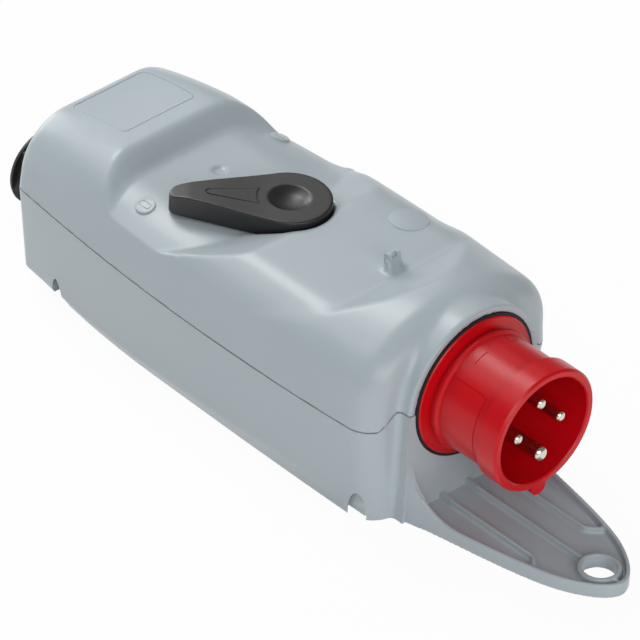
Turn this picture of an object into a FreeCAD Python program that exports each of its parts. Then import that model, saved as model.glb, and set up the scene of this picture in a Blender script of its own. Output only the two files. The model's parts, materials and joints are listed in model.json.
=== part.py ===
import FreeCAD, Part
import math
import os
import re
import Sketcher

# Switched industrial plug: a two-shell housing with a rotary switch, a red
# four-pin plug at the front, a hanging tongue below it and a cable gland at
# the back. Lengths are millimetres.
# The pieces are drawn about the plug's axis: X runs forward from the
# housing's front face, Y to the left of the plug and Z up. The row frame
# has its origin under the middle of the whole length, on the base plane.

V = FreeCAD.Vector
doc = FreeCAD.newDocument("switched_plug")
sheet = doc.addObject("Spreadsheet::Sheet", "sizes")

# Driving dimensions

SIZES = [
    # Housing, outside
    ("body_length", 232.0),
    ("axis_height", 55.0),
    ("split_drop", 7.2),
    ("wall", 3.0),
    ("barrel_half_width", 56.7),
    ("barrel_middle", 85.0),
    ("barrel_radius", 1035.0),
    ("cover_draft", 0.07),
    ("knee_rise", 5.0),
    ("knee_draft", 0.125),
    ("foot_half_width", 49.3),
    ("foot_middle", 20.0),
    ("foot_radius", 3400.0),
    ("foot_taper", 0.11),
    ("foot_taper_start", 175.0),
    ("rear_round", 6.0),
    ("heel_round", 7.0),
    ("front_round", 13.0),
    ("front_setback", 6.3),
    # Top of the cover
    ("hump_rear_height", 24.0),
    ("hump_front_height", 31.2),
    ("hump_round", 25.0),
    ("hump_crest_back", 183.0),
    ("dome_height", 38.5),
    ("dome_crown_radius", 80.0),
    ("dome_round", 25.0),
    ("saddle_height", 22.0),
    ("saddle_round", 45.0),
    ("saddle_wall_foot", 175.6),
    ("dimple_back", 155.8),
    ("dimple_radius", 3.3),
    ("dimple_depth", 0.7),
    ("saddle_ramp_foot", 117.0),
    ("terrace_height", 29.5),
    ("terrace_round", 25.0),
    ("terrace_start", 96.5),
    ("dome_ramp_foot", 46.0),
    ("dome_start", 26.0),
    ("saddle_spread", 16.4),
    ("terrace_spread", 0.2),
    # Rounds where the steps' walls meet their floors and tops
    ("wall_foot_round", 4.0),
    ("wall_crest_round", 3.0),
    ("dome_foot_round", 5.0),
    # Catch lug on the terrace
    ("catch_back", 54.0),
    ("catch_length", 7.2),
    ("catch_side", 3.0),
    ("catch_width", 7.8),
    ("catch_top", 35.2),
    ("catch_tip", 2.6),
    ("catch_slot", 2.0),
    # Front face
    ("collar_blend", 3.0),
    ("land_radius", 37.0),
    ("gasket_radius", 33.5),
    ("gasket_thickness", 1.2),
    ("seat_depth", 6.0),
    ("lip_radius", 30.4),
    ("lip_depth", 4.4),
    ("fit_gap", 0.1),
    # Tongue and hanging eye
    ("tongue_reach", 92.5),
    ("tongue_root_half", 36.8),
    ("tongue_waist_back", 28.0),
    ("tongue_waist_half", 29.5),
    ("tongue_nose_back", 79.5),
    ("tongue_nose_half", 14.9),
    ("tongue_top_drop", 48.2),
    ("tongue_floor_thickness", 3.0),
    ("tongue_rim", 1.9),
    ("cheek_sweep", 25.5),
    ("rib_width", 1.8),
    ("rib_drop", 49.2),
    ("rib_pitch", 15.0),
    ("outer_rib_bend", 55.0),
    ("outer_rib_round", 3.5),
    ("eye_forward", 78.5),
    ("eye_bore", 7.35),
    ("eye_ring", 9.4),
    # Red plug
    ("rim_forward", 41.7),
    ("shroud_bore", 24.9),
    ("collar_radius", 28.7),
    ("collar_length", 11.5),
    ("sleeve_radius", 26.7),
    ("flange_radius", 32.2),
    ("flange_front", 1.0),
    ("bead_radius", 28.1),
    ("key_round", 4.1),
    ("key_setback", 0.8),
    ("carrier_face", 1.5),
    ("carrier_rear", 24.0),
    ("pin_circle", 12.35),
    ("phase_pin_radius", 2.5),
    ("earth_pin_radius", 3.5),
    ("phase_pin_end", 39.7),
    ("earth_pin_lead", 2.35),
    ("pin_shoulder", 0.3),
    ("pin_head_radius", 4.2),
    ("pin_head_length", 11.0),
    ("wire_bore", 1.9),
    ("terminal_screw_radius", 1.5),
    # Handle and switch
    ("hub_back", 113.2),
    ("handle_hub_radius", 18.3),
    ("handle_tip_radius", 4.7),
    ("handle_lever", 45.9),
    ("handle_thickness", 10.4),
    ("handle_gap", 0.3),
    ("handle_rest_angle", 225.0),
    ("handle_turn", 90.0),
    ("handle_clearance", 0.6),
    ("dish_radius", 9.1),
    ("dish_depth", 3.4),
    ("stem_radius", 8.0),
    ("stem_gap", 0.3),
    ("seal_thickness", 2.0),
    ("shaft_side", 6.0),
    ("rotor_radius", 12.0),
    ("bridge_reach", 17.0),
    ("switch_length", 52.0),
    ("switch_width", 44.0),
    ("switch_height", 36.0),
    ("switch_cover_thickness", 3.0),
    ("switch_drop", 4.0),
    ("pole_pitch", 10.0),
    # Shell screws
    ("screw_front_back", 17.2),
    ("screw_front_side", 43.3),
    ("screw_rear_back", 204.9),
    ("screw_rear_side", 38.7),
    ("screw_radius", 2.0),
    ("screw_head_radius", 3.6),
    ("screw_pocket_radius", 6.6),
    ("screw_pocket_depth", 14.0),
    ("pillar_radius", 6.5),
    ("pocket_wall", 1.9),
    # Cable gland
    ("gland_drop", 36.0),
    ("gland_nut_radius", 18.3),
    ("gland_nut_rim", 2.2),
    ("gland_thread_radius", 12.5),
    ("gland_reach", 266.0),
    ("gland_bore", 8.0),
    ("gland_flange", 9.0),
    ("key_length", 36.6),
    ("handle_bevel", 1.2),
    ("bridge_width", 9.0),
    ("bridge_thickness", 1.6),
    ("contact_width", 5.0),
    ("contact_thickness", 1.3),
    ("contact_length", 14.0),
    ("terminal_length", 7.0),
    ("terminal_height", 6.0),
]



def fill_sheet():
    """Each size is a plain number in column B with its name as the alias."""
    for row, (name, number) in enumerate(SIZES, start=1):
        sheet.set("A%d" % row, name)
        sheet.set("B%d" % row, str(number))
        sheet.setAlias("B%d" % row, name)
    doc.recompute()


fill_sheet()
ALIAS = re.compile(r"\b(%s)\b" % "|".join(name for name, number in SIZES))


class Sizes:
    """The sheet's cells by name, for shapes that are worked out here."""

    def __getattr__(self, name):
        return float(sheet.get(name))


S = Sizes()


def bound(text):
    """An expression on size names, as the document reads it."""
    return ALIAS.sub(r"sizes.\1", text)


def value(text):
    return float(sheet.evalExpression(bound(text)))


FRAME_X = "(gland_reach - tongue_reach) / 2"
FRAME_Z = "axis_height"
SPLIT = -S.split_drop
BASE = -S.axis_height
nodes = []


def place(thing, dx="0", dy="0", dz="0"):
    """Binds a piece's own zero to its place about the plug's axis."""
    thing.setExpression("Placement.Base.x", bound("%s + %s" % (FRAME_X, dx)))
    thing.setExpression("Placement.Base.y", bound(dy))
    thing.setExpression("Placement.Base.z", bound("%s + %s" % (FRAME_Z, dz)))


def keep(thing, label):
    """Names a finished sub-part for the export."""
    thing.Label = label
    nodes.append(thing)
    return thing


def solid_node(label, shape):
    """A sub-part whose shape is worked out from the sheet by the functions above it."""
    thing = doc.addObject("Part::Feature", label)
    thing.Shape = shape
    thing.Placement = FreeCAD.Placement(V(value(FRAME_X), 0, S.axis_height), FreeCAD.Rotation())
    return keep(thing, label)


def origin_plane(body, role):
    return next(item for item in body.Origin.OriginFeatures if item.Role == role)


def new_body(name):
    return doc.addObject("PartDesign::Body", name)


def new_sketch(body, name, plane, offset="0"):
    sketch = body.newObject("Sketcher::SketchObject", name)
    sketch.AttachmentSupport = [(origin_plane(body, plane), "")]
    sketch.MapMode = "FlatFace"
    sketch.setExpression("AttachmentOffset.Base.z", bound(offset))
    return sketch


def tie_point(sketch, edge, end, u, v):
    """Drives one end of an edge from the sheet; plain zero lies on the axis."""
    for kind, text, axis in (("DistanceX", u, -2), ("DistanceY", v, -1)):
        if text == "0":
            sketch.addConstraint(Sketcher.Constraint("PointOnObject", edge, end, axis))
            continue
        index = sketch.addConstraint(Sketcher.Constraint(kind, edge, end, value(text)))
        sketch.setExpression("Constraints[%d]" % index, bound(text))


def polygon(body, name, plane, corners, offset="0"):
    """A closed outline of straight edges whose corners follow the sheet."""
    sketch = new_sketch(body, name, plane, offset)
    points = [V(value(u), value(v), 0) for u, v in corners]
    count = len(points)
    for i in range(count):
        sketch.addGeometry(Part.LineSegment(points[i], points[(i + 1) % count]))
    for i in range(count):
        sketch.addConstraint(Sketcher.Constraint("Coincident", i, 2, (i + 1) % count, 1))
    for i, (u, v) in enumerate(corners):
        tie_point(sketch, i, 1, u, v)
    return sketch


def circles(body, name, plane, rounds, offset="0"):
    """Circles of (u, v, radius), each driven from the sheet."""
    sketch = new_sketch(body, name, plane, offset)
    for i, (u, v, radius) in enumerate(rounds):
        middle = V(value(u), value(v), 0)
        sketch.addGeometry(Part.Circle(middle, V(0, 0, 1), value(radius)))
        tie_point(sketch, i, 3, u, v)
        index = sketch.addConstraint(Sketcher.Constraint("Radius", i, value(radius)))
        sketch.setExpression("Constraints[%d]" % index, bound(radius))
    return sketch


def turn(body, name, corners, axis="H_Axis"):
    """Revolves a profile about the body's X axis, or its Z axis for V_Axis."""
    feature = body.newObject("PartDesign::Revolution", name)
    feature.Profile = polygon(body, name + "_profile", "XZ_Plane", corners)
    feature.ReferenceAxis = (feature.Profile[0], [axis])
    feature.Angle = 360
    return feature


def pad(body, name, sketch, length):
    feature = body.newObject("PartDesign::Pad", name)
    feature.Profile = sketch
    feature.setExpression("Length", bound(length))
    return feature


def pocket(body, name, sketch, length, forward=False):
    """Cuts a sketch into the body, against its plane's normal unless forward."""
    feature = body.newObject("PartDesign::Pocket", name)
    feature.Profile = sketch
    feature.setExpression("Length", bound(length))
    feature.Reversed = forward
    return feature


def block(x0, x1, y0, y1, z0, z1):
    return Part.makeBox(x1 - x0, y1 - y0, z1 - z0, V(x0, y0, z0))


def rod(x, y, z0, z1, radius):
    return Part.makeCylinder(radius, z1 - z0, V(x, y, z0))


def axle(x0, x1, radius, y=0, z=0):
    return Part.makeCylinder(radius, x1 - x0, V(x0, y, z), V(1, 0, 0))


def prism(points, plane, start, end):
    """A polygon of (u, v) points extruded along the plane's normal."""
    lift = {
        "XZ": lambda u, v: V(u, start, v),
        "YZ": lambda u, v: V(start, u, v),
        "XY": lambda u, v: V(u, v, start),
    }[plane]
    run = {"XZ": V(0, end - start, 0), "YZ": V(end - start, 0, 0), "XY": V(0, 0, end - start)}[plane]
    corners = [lift(u, v) for u, v in points]
    return Part.Face(Part.makePolygon(corners + corners[:1])).extrude(run)


# Housing form
# The shells share one barrel outline at the split. Every cross-section of the
# cover is a drafted side, a large round and a crowned top.

REACH = 200.0
FLAT = 2000.0


def half_width(x):
    return S.barrel_half_width - (x + S.barrel_middle) ** 2 / (2 * S.barrel_radius)


def arch(x, half, top, round_radius, crown_radius, low):
    """Cross-section wire at x: half is the half width at the split plane."""
    slope = math.hypot(S.cover_draft, 1.0)
    along = (-S.cover_draft / slope, 1.0 / slope)
    inward = (-1.0 / slope, -S.cover_draft / slope)
    start = (half + round_radius * inward[0], SPLIT + round_radius * inward[1])
    crown = (0.0, top - crown_radius)
    gap = (start[0] - crown[0], start[1] - crown[1])
    lead = gap[0] * along[0] + gap[1] * along[1]
    rest = gap[0] ** 2 + gap[1] ** 2 - (crown_radius - round_radius) ** 2
    step = -lead + math.sqrt(lead * lead - rest)
    middle = (start[0] + step * along[0], start[1] + step * along[1])
    side = (middle[0] - round_radius * inward[0], middle[1] - round_radius * inward[1])
    grow = crown_radius / (crown_radius - round_radius)
    shoulder = ((middle[0] - crown[0]) * grow, crown[1] + (middle[1] - crown[1]) * grow)
    first = math.atan2(side[1] - middle[1], side[0] - middle[0])
    last = math.atan2(shoulder[1] - middle[1], shoulder[0] - middle[0])
    turn_half = (first + last) / 2
    bend = (middle[0] + round_radius * math.cos(turn_half), middle[1] + round_radius * math.sin(turn_half))
    foot = (half + S.cover_draft * (SPLIT - low), low)
    right = [V(x, y, z) for y, z in (foot, side, bend, shoulder)]
    left = [V(x, -y, z) for y, z in (foot, side, bend, shoulder)]
    edges = [
        Part.makeLine(left[0], right[0]),
        Part.makeLine(right[0], right[1]),
        Part.Arc(right[1], right[2], right[3]).toShape(),
        Part.Arc(right[3], V(x, 0, top), left[3]).toShape(),
        Part.Arc(left[3], left[2], left[1]).toShape(),
        Part.makeLine(left[1], left[0]),
    ]
    return Part.Wire(edges)


def end_edges(shape, x, above):
    """Edges of the end face at x, without the one along its foot."""
    near = 0.01
    return [
        edge for edge in shape.Edges
        if abs(edge.BoundBox.XMin - x) < near and abs(edge.BoundBox.XMax - x) < near
        and edge.BoundBox.ZMax > above + near
    ]


def cover_loaf(inset):
    """The cover's full form, before the steps are cut, drawn in by inset."""
    low = SPLIT - 10
    middle_x = -(S.saddle_ramp_foot + S.terrace_start) / 2
    stations = [
        (-S.body_length + inset, S.hump_rear_height, FLAT, S.hump_round),
        (-S.hump_crest_back, S.hump_front_height, FLAT, S.hump_round),
        (middle_x, (S.hump_front_height + S.dome_height) / 2 - 1, FLAT / 8, S.hump_round),
        (-S.dome_ramp_foot, S.dome_height - 1, S.dome_crown_radius + 10, S.dome_round),
        (-S.dome_start, S.dome_height, S.dome_crown_radius, S.dome_round),
        (-S.front_setback - inset, S.dome_height, S.dome_crown_radius, S.dome_round),
    ]
    wires = []
    for x, top, crown_radius, round_radius in stations:
        half = half_width(x) - inset
        wires.append(arch(x, half, top - inset, round_radius - inset, crown_radius - inset, low))
    return Part.makeLoft(wires, True, False)


def low_loaf(height, round_radius, spread, inset):
    """A lower loaf inside the cover's form: the floor and sides of one step."""
    wires = []
    for x in (-S.body_length - 1, -S.barrel_middle - 80, -S.barrel_middle, 1):
        half = half_width(x) + spread - inset
        wires.append(arch(x, half, height - inset, round_radius - inset, FLAT, SPLIT - 10))
    return Part.makeLoft(wires, True, False)


def step_space(back_foot, back_run, front_foot, front_top, height, front_height, grow):
    """The space over one step, between a wall behind it and a ramp before it."""
    ramp = (front_top - front_foot) / (front_height - height)
    top = 80.0
    back = lambda z: back_foot - back_run * (z - height) - grow
    front = lambda z: front_foot + ramp * (z - height) + grow
    meet = height - (front(height) - back(height)) / (back_run + ramp)
    return prism([(back(meet), meet), (front(top), top), (back(top), top)], "XZ", -REACH, REACH)


def handle_plan(turned_by, grow):
    """Upright space round the handle's outline, at one end of its turn."""
    hub = S.handle_hub_radius + S.handle_clearance + grow
    tip = S.handle_tip_radius + S.handle_clearance + grow
    heading = math.radians(S.handle_rest_angle - turned_by)
    lean = math.acos((hub - tip) / S.handle_lever)
    low = S.saddle_height - grow

    def at(reach, radius, angle):
        x = -S.hub_back + reach * math.cos(heading) + radius * math.cos(heading + angle)
        return V(x, reach * math.sin(heading) + radius * math.sin(heading + angle), low)

    edges = [
        Part.Arc(at(0, hub, lean), at(0, hub, math.pi), at(0, hub, -lean)).toShape(),
        Part.makeLine(at(0, hub, -lean), at(S.handle_lever, tip, -lean)),
        Part.Arc(at(S.handle_lever, tip, -lean), at(S.handle_lever, tip, 0), at(S.handle_lever, tip, lean)).toShape(),
        Part.makeLine(at(S.handle_lever, tip, lean), at(0, hub, lean)),
    ]
    return Part.Face(Part.Wire(edges)).extrude(V(0, 0, 80 - low))


def saddle_cut(grow):
    """Space over the saddle that the handle turns on."""
    run = (S.hump_crest_back - S.saddle_wall_foot) / (S.hump_front_height - S.saddle_height)
    space = step_space(-S.saddle_wall_foot, run, -S.saddle_ramp_foot, -S.terrace_start,
                       S.saddle_height, S.terrace_height, grow)
    space = space.cut(low_loaf(S.saddle_height, S.saddle_round, S.saddle_spread, grow))
    dimple = rod(-S.dimple_back, 0, S.saddle_height - S.dimple_depth - grow, 80, S.dimple_radius + grow)
    return space.multiFuse([handle_plan(0, grow), handle_plan(S.handle_turn, grow), dimple])


def step_edge(shape, x, z):
    """The edge that runs across the cover nearest to x and z, or none within 2 mm."""
    best = []
    for edge in shape.Edges:
        box = edge.BoundBox
        point = edge.valueAt((edge.FirstParameter + edge.LastParameter) / 2)
        gap = abs(point.x - x) + abs(point.z - z)
        if box.YMax - box.YMin > S.pillar_radius and gap < 2.0:
            best.append((gap, edge))
    return [edge for gap, edge in sorted(best, key=lambda pair: pair[0])[:1]]


def soften_steps(form):
    """Round the feet and the crests of the steps across the cover."""
    spots = [
        (-S.dome_ramp_foot, S.terrace_height, S.dome_foot_round),
        (-S.saddle_wall_foot, S.saddle_height, S.wall_foot_round),
        (-S.hump_crest_back, S.hump_front_height, S.wall_crest_round),
        (-S.dome_start, S.dome_height, S.wall_crest_round),
        (-S.terrace_start, S.terrace_height, S.wall_foot_round),
    ]
    for x, z, radius in spots:
        edges = step_edge(form, x, z)
        if edges:
            form = form.makeFillet(radius, edges)
    return form


def terrace_cut(grow):
    """Space over the terrace that carries the catch lug."""
    space = step_space(-S.saddle_ramp_foot - 20, 1.0, -S.dome_ramp_foot, -S.dome_start,
                       S.terrace_height, S.dome_height, grow)
    return space.cut(low_loaf(S.terrace_height, S.terrace_round, S.terrace_spread, grow))


def foot_half(x):
    """Half width of the underside: flatter than the split, tapered at the rear."""
    taper = S.foot_taper * max(0.0, -x - S.foot_taper_start)
    return S.foot_half_width - (x + S.foot_middle) ** 2 / (2 * S.foot_radius) - taper


def side_slope(curve, x):
    return (curve(x + 0.5) - curve(x - 0.5)) / 1.0


def corner(curve, end, radius, way):
    """Tangent points of a round between the end face and a side curve."""
    x = end + way * radius
    for turn_number in range(6):
        slope = side_slope(curve, x)
        length = math.hypot(1.0, slope)
        x = end + way * radius - radius * slope / length
    slope = side_slope(curve, x)
    length = math.hypot(1.0, slope)
    middle = (end + way * radius, curve(x) - radius / length)
    first = math.atan2(curve(x) - middle[1], x - middle[0])
    last = 0.0 if way < 0 else math.pi
    bend = (first + last) / 2
    via = (middle[0] + radius * math.cos(bend), middle[1] + radius * math.sin(bend))
    return (x, curve(x)), via, (end, middle[1]), slope


def plan(curve, rear, front, rear_radius, front_radius, z):
    """Closed plan outline at z, with rounded corners between ends and sides."""
    near, near_via, near_end, near_slope = corner(curve, front, front_radius, -1)
    far, far_via, far_end, far_slope = corner(curve, rear, rear_radius, 1)
    edges = []
    for side in (1, -1):
        put = lambda point: V(point[0], side * point[1], z)
        step = (near[0] - far[0]) / 6
        points = [put((far[0] + i * step, curve(far[0] + i * step))) for i in range(7)]
        line = Part.BSplineCurve()
        line.interpolate(points, InitialTangent=V(1, side * far_slope, 0), FinalTangent=V(1, side * near_slope, 0))
        chain = [
            Part.Arc(put(far_end), put(far_via), put(far)).toShape(), line.toShape(),
            Part.Arc(put(near), put(near_via), put(near_end)).toShape(),
        ]
        edges.append(chain)
    right, left = edges
    across = Part.makeLine(V(front, near_end[1], z), V(front, -near_end[1], z))
    back = Part.makeLine(V(rear, -far_end[1], z), V(rear, far_end[1], z))
    return Part.Wire(right + [across] + left[::-1] + [back])


def base_loaf(inset, top, front):
    """The base's full form, drawn in by inset: straight walls between plan outlines."""
    foot = BASE + inset
    knee = BASE + S.knee_rise
    rear = inset - S.body_length
    levels = [
        (lambda x: half_width(x) - inset + S.knee_draft * (top - SPLIT), top),
        (lambda x: half_width(x) - inset - S.knee_draft * (SPLIT - knee), knee),
        (lambda x: foot_half(x) - inset, foot),
    ]
    rear_radius = max(S.rear_round - inset, 1.0)
    front_radius = max(S.front_round - inset, 1.0)
    wires = [plan(curve, rear, -front, rear_radius, front_radius, z) for curve, z in levels]
    return Part.makeLoft(wires, True, True).cut(heel(inset))


def heel(inset):
    """What the round along the base's rear foot takes away."""
    x = S.heel_round - S.body_length
    z = BASE + S.heel_round
    corner_block = block(-S.body_length - 1, x, -REACH, REACH, BASE - 1, z)
    radius = S.heel_round - inset
    return corner_block.cut(Part.makeCylinder(radius, 2 * REACH, V(x, -REACH, z), V(0, 1, 0)))


# Front face: the plug's collar stands proud of it and runs straight down the base

def collar_legs(x0, x1, top):
    """The collar's straight part, which carries on into the tongue's cheeks."""
    return block(x0, x1, -S.land_radius, S.land_radius, BASE, top)


def collar_block(x0, x1):
    """The raised land round the plug: half a disc with straight legs."""
    return axle(x0, x1, S.land_radius).fuse(collar_legs(x0, x1, 0)).removeSplitter()


def blend_edges(shape):
    """Concave edges where the collar's outer wall leaves the front face."""
    found = []
    for edge in shape.Edges:
        point = edge.valueAt((edge.FirstParameter + edge.LastParameter) / 2)
        reach = math.hypot(point.y, max(point.z, 0.0))
        if abs(reach - S.land_radius) < 0.05 and -S.front_round - S.front_setback < point.x < -1:
            if point.z > BASE + 1:
                found.append(edge)
    return found


FRONT_WALL = S.seat_depth + S.lip_depth


def below_split():
    """All that belongs to the base: under the split, stepped up at the front."""
    shoulder = S.land_radius + 1.0
    outer = shoulder + S.split_drop * 1.3
    step = prism([(-outer, SPLIT), (-shoulder, 0), (shoulder, 0), (outer, SPLIT)], "YZ", -FRONT_WALL, 10)
    slab = block(-REACH * 2, REACH, -REACH, REACH, -REACH, SPLIT)
    return slab.fuse(step).removeSplitter()


def plug_seat():
    """Bore for the plug: a wide seat for the gasket, then the holding lip."""
    seat = axle(-S.seat_depth, 10, S.gasket_radius + S.fit_gap)
    lip = axle(-FRONT_WALL - 20, 10, S.lip_radius)
    return seat.fuse(lip)


def outline(inset):
    """Plan of the hanging tongue: an ogive that carries on the collar's outer wall."""
    half = [
        V(-S.seat_depth, S.tongue_root_half - inset, 0),
        V(S.tongue_waist_back, S.tongue_waist_half - inset, 0),
        V(S.eye_forward * 0.77, S.tongue_waist_half * 0.765 - inset, 0),
        V(S.tongue_nose_back, S.tongue_nose_half - inset, 0),
    ]
    other = [V(point.x, -point.y, 0) for point in reversed(half)]
    curve = Part.BSplineCurve()
    curve.interpolate(half + [V(S.tongue_reach - inset, 0, 0)] + other)
    back = Part.makeLine(other[-1], half[0])
    return Part.Wire([curve.toShape(), back])


def plate(wire, low, high):
    face = Part.Face(wire)
    face.translate(V(0, 0, low))
    return face.extrude(V(0, 0, high - low))


def tongue():
    """The tongue with its rim, cheeks, ribs and the boss of the hanging eye."""
    top = -S.tongue_top_drop
    floor = BASE + S.tongue_floor_thickness
    outer = plate(outline(0), BASE, 0)
    inner = plate(outline(S.tongue_rim), floor, 1)
    wall = outer.cut(inner)
    low = block(-REACH, REACH, -REACH, REACH, BASE, top)
    sweep = S.cheek_sweep
    centre = top + sweep
    bend = Part.makeCylinder(sweep, 2 * REACH, V(sweep, -REACH, centre), V(0, 1, 0))
    side = block(-S.seat_depth, sweep, -REACH, REACH, BASE, centre).cut(bend)
    form = wall.common(low.fuse(side))
    ribs = []
    half = S.rib_width / 2
    ribs.append(block(0, S.tongue_reach - S.tongue_rim, -half, half, floor, -S.rib_drop))
    for way in (-1, 1):
        start = way * S.rib_pitch
        bend = S.outer_rib_round
        bend_x = S.outer_rib_bend - bend * math.tan(math.pi / 8)
        bend_y = start + way * bend
        ribs.append(block(0, bend_x, start - half, start + half, floor, -S.rib_drop))
        ring = rod(bend_x, bend_y, floor, -S.rib_drop, bend + half)
        ring = ring.cut(rod(bend_x, bend_y, floor, -S.rib_drop, bend - half))
        slant = math.sqrt(0.5)
        wide = 4 * bend * slant
        wedge = [(bend_x, bend_y), (bend_x, bend_y - way * 4 * bend), (bend_x + wide, bend_y - way * wide)]
        ribs.append(ring.common(prism(wedge, "XY", floor, -S.rib_drop)))
        leg = []
        for along, aside in ((0, -half), (0, half), (S.rib_pitch, half), (S.rib_pitch, -half)):
            leg.append((bend_x + slant * (bend + along + aside), bend_y + way * slant * (along - bend - aside)))
        ribs.append(prism(leg, "XY", floor, -S.rib_drop))
    room = plate(outline(S.tongue_rim / 2), floor, top)
    web = ribs[0].multiFuse(ribs[1:]).common(room)
    boss = rod(S.eye_forward, 0, floor, top, S.eye_ring)
    form = form.multiFuse([web, boss])
    return form.cut(rod(S.eye_forward, 0, BASE - 5, 5, S.eye_bore)).removeSplitter()


SCREWS = [
    (-S.screw_front_back, S.screw_front_side), (-S.screw_front_back, -S.screw_front_side),
    (-S.screw_rear_back, S.screw_rear_side), (-S.screw_rear_back, -S.screw_rear_side),
]
HUB = -S.hub_back
SWITCH_TOP = S.saddle_height - S.wall - S.switch_drop
SWITCH_SCREWS = [
    (HUB + sx * (S.switch_length / 2 - 3.5), sy * (S.switch_width / 2 - 3.5))
    for sx in (-1, 1) for sy in (-1, 1)
]
SEAL_INNER = S.stem_radius + S.stem_gap
SEAL_OUTER = SEAL_INNER + 2.4
BOSS_BOTTOM = S.saddle_height - S.wall - S.seal_thickness - 0.5


def catch():
    """The lug that a socket's lid hooks on: two hooked blades on one root, scooped in front."""
    back = -S.catch_back
    front = back + S.catch_length
    root = S.terrace_height - S.wall / 2
    lug = block(back, front, -S.catch_side, S.catch_width - S.catch_side, root, S.catch_top)
    drop = S.catch_top - S.terrace_height
    run = S.catch_length - S.catch_tip
    scoop = (run * run + drop * drop) / (2 * run * 0.72)
    x = back + S.catch_tip + scoop * math.cos(0.17)
    z = S.catch_top + scoop * math.sin(0.17)
    lug = lug.cut(Part.makeCylinder(scoop, 2 * REACH, V(x, -REACH, z), V(0, 1, 0)))
    middle = S.catch_width / 2 - S.catch_side
    half = S.catch_slot / 2
    groove = [(middle - half, S.catch_top + 1), (middle + half, S.catch_top + 1),
              (middle + half / 2, S.terrace_height + 0.7), (middle - half / 2, S.terrace_height + 0.7)]
    return lug.cut(prism(groove, "YZ", back + S.catch_tip * 0.7, front + 1))


def cover_shell():
    """The cover: outside form, steps, valley, land, then the hollow and its bosses."""
    form = cover_loaf(0)
    form = form.makeFillet(S.rear_round, end_edges(form, -S.body_length, SPLIT - 10))
    form = form.makeFillet(S.front_round, end_edges(form, -S.front_setback, SPLIT - 10))
    form = soften_steps(form.cut(saddle_cut(0)).cut(terrace_cut(0)))
    solid = form
    form = form.fuse(collar_block(-S.front_setback - S.front_round, 0))
    form = form.makeFillet(S.collar_blend, blend_edges(form))
    form = form.cut(below_split())
    hollow = cover_loaf(S.wall).cut(saddle_cut(S.wall)).cut(terrace_cut(S.wall))
    front = -S.front_setback - S.front_round * 0.8
    hollow = hollow.cut(block(front, REACH, -REACH, REACH, -REACH, REACH))
    hollow = hollow.fuse(axle(front - 1, -FRONT_WALL, S.lip_radius + 2.8)).cut(below_split())
    form = form.cut(hollow).fuse(catch())
    bosses = [rod(x, y, SPLIT, 60, S.pillar_radius - 1) for x, y in SCREWS]
    bosses += [rod(x, y, SWITCH_TOP, 60, 3.6) for x, y in SWITCH_SCREWS]
    bosses.append(rod(HUB, 0, BOSS_BOTTOM, 60, SEAL_OUTER + 2))
    for boss in bosses:
        form = form.fuse(boss.common(solid))
    cuts = [plug_seat(), rod(HUB, 0, BOSS_BOTTOM - 1, 60, SEAL_INNER)]
    cuts.append(rod(HUB, 0, BOSS_BOTTOM - 1, BOSS_BOTTOM + S.seal_thickness, SEAL_OUTER))
    cuts += [rod(x, y, SPLIT - 1, SPLIT + 14, S.screw_radius) for x, y in SCREWS]
    cuts += [rod(x, y, SWITCH_TOP - 1, SWITCH_TOP + 5, 1.5) for x, y in SWITCH_SCREWS]
    for cutter in cuts:
        form = form.cut(cutter)
    return form


def seal_path(inner, outer, low, high):
    """A strip along the split, between two insets of the base's outline."""
    ring = base_loaf(outer, 5, 0).cut(base_loaf(inner, 6, 0))
    return ring.common(block(-REACH * 2, -FRONT_WALL - 3, -REACH, REACH, low, high))


def base_shell():
    """The base: outside form, valley, legs of the land, hollow, pillars, tongue."""
    form = base_loaf(0, 5, S.front_setback)
    solid = form
    form = form.fuse(collar_legs(-FRONT_WALL, 0, 5))
    form = form.makeFillet(S.collar_blend, blend_edges(form))
    form = form.common(below_split())
    hollow = base_loaf(S.wall, 5, FRONT_WALL)
    form = form.cut(hollow)
    pillars = [rod(x, y, BASE, SPLIT, S.pillar_radius) for x, y in SCREWS]
    pocket_top = BASE + S.screw_pocket_depth
    cup = S.screw_pocket_radius + S.pocket_wall
    pillars += [rod(x, y, BASE, pocket_top + S.pocket_wall + 0.6, cup) for x, y in SCREWS]
    gland_seat = S.heel_round - S.body_length
    pillars.append(axle(-S.body_length, gland_seat, S.gland_thread_radius + 3, 0, -S.gland_drop))
    for pillar in pillars:
        form = form.fuse(pillar.common(solid))
    for side in (-1, 1):
        form = form.fuse(rod(CLAMP_X, side * CLAMP_SIDE, BASE + 1, CLAMP_LOW, 4.2))
    form = form.fuse(tongue())
    cuts = [plug_seat(), axle(-S.body_length - 5, -S.body_length + 12, S.gland_thread_radius + 0.1, 0, -S.gland_drop)]
    cuts += [rod(x, y, BASE - 1, SPLIT + 1, S.screw_radius + 0.1) for x, y in SCREWS]
    cuts += [rod(x, y, BASE - 5, BASE + S.screw_pocket_depth, S.screw_pocket_radius) for x, y in SCREWS]
    cuts += [rod(CLAMP_X, side * CLAMP_SIDE, CLAMP_LOW - 9, CLAMP_LOW + 1, 1.5) for side in (-1, 1)]
    cuts.append(seal_path(2.2, 0.8, SPLIT - 1.2, SPLIT + 1))
    for cutter in cuts:
        form = form.cut(cutter)
    return form


CLAMP_X = -S.body_length + 34
CLAMP_SIDE = S.gland_bore + 6
CLAMP_LOW = -S.gland_drop + S.gland_bore * 1.05


solid_node("upper_shell", cover_shell())
solid_node("lower_shell", base_shell())
solid_node("shell_seal", seal_path(2.1, 0.9, SPLIT - 1.1, SPLIT))


# Fasteners share one plan: a head, a shank, and a place for each of them

def primitive(kind, name, at, sizes):
    thing = doc.addObject(kind, name)
    for prop, text in sizes.items():
        thing.setExpression(prop, bound(text))
    place(thing, *at)
    return thing


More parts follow.
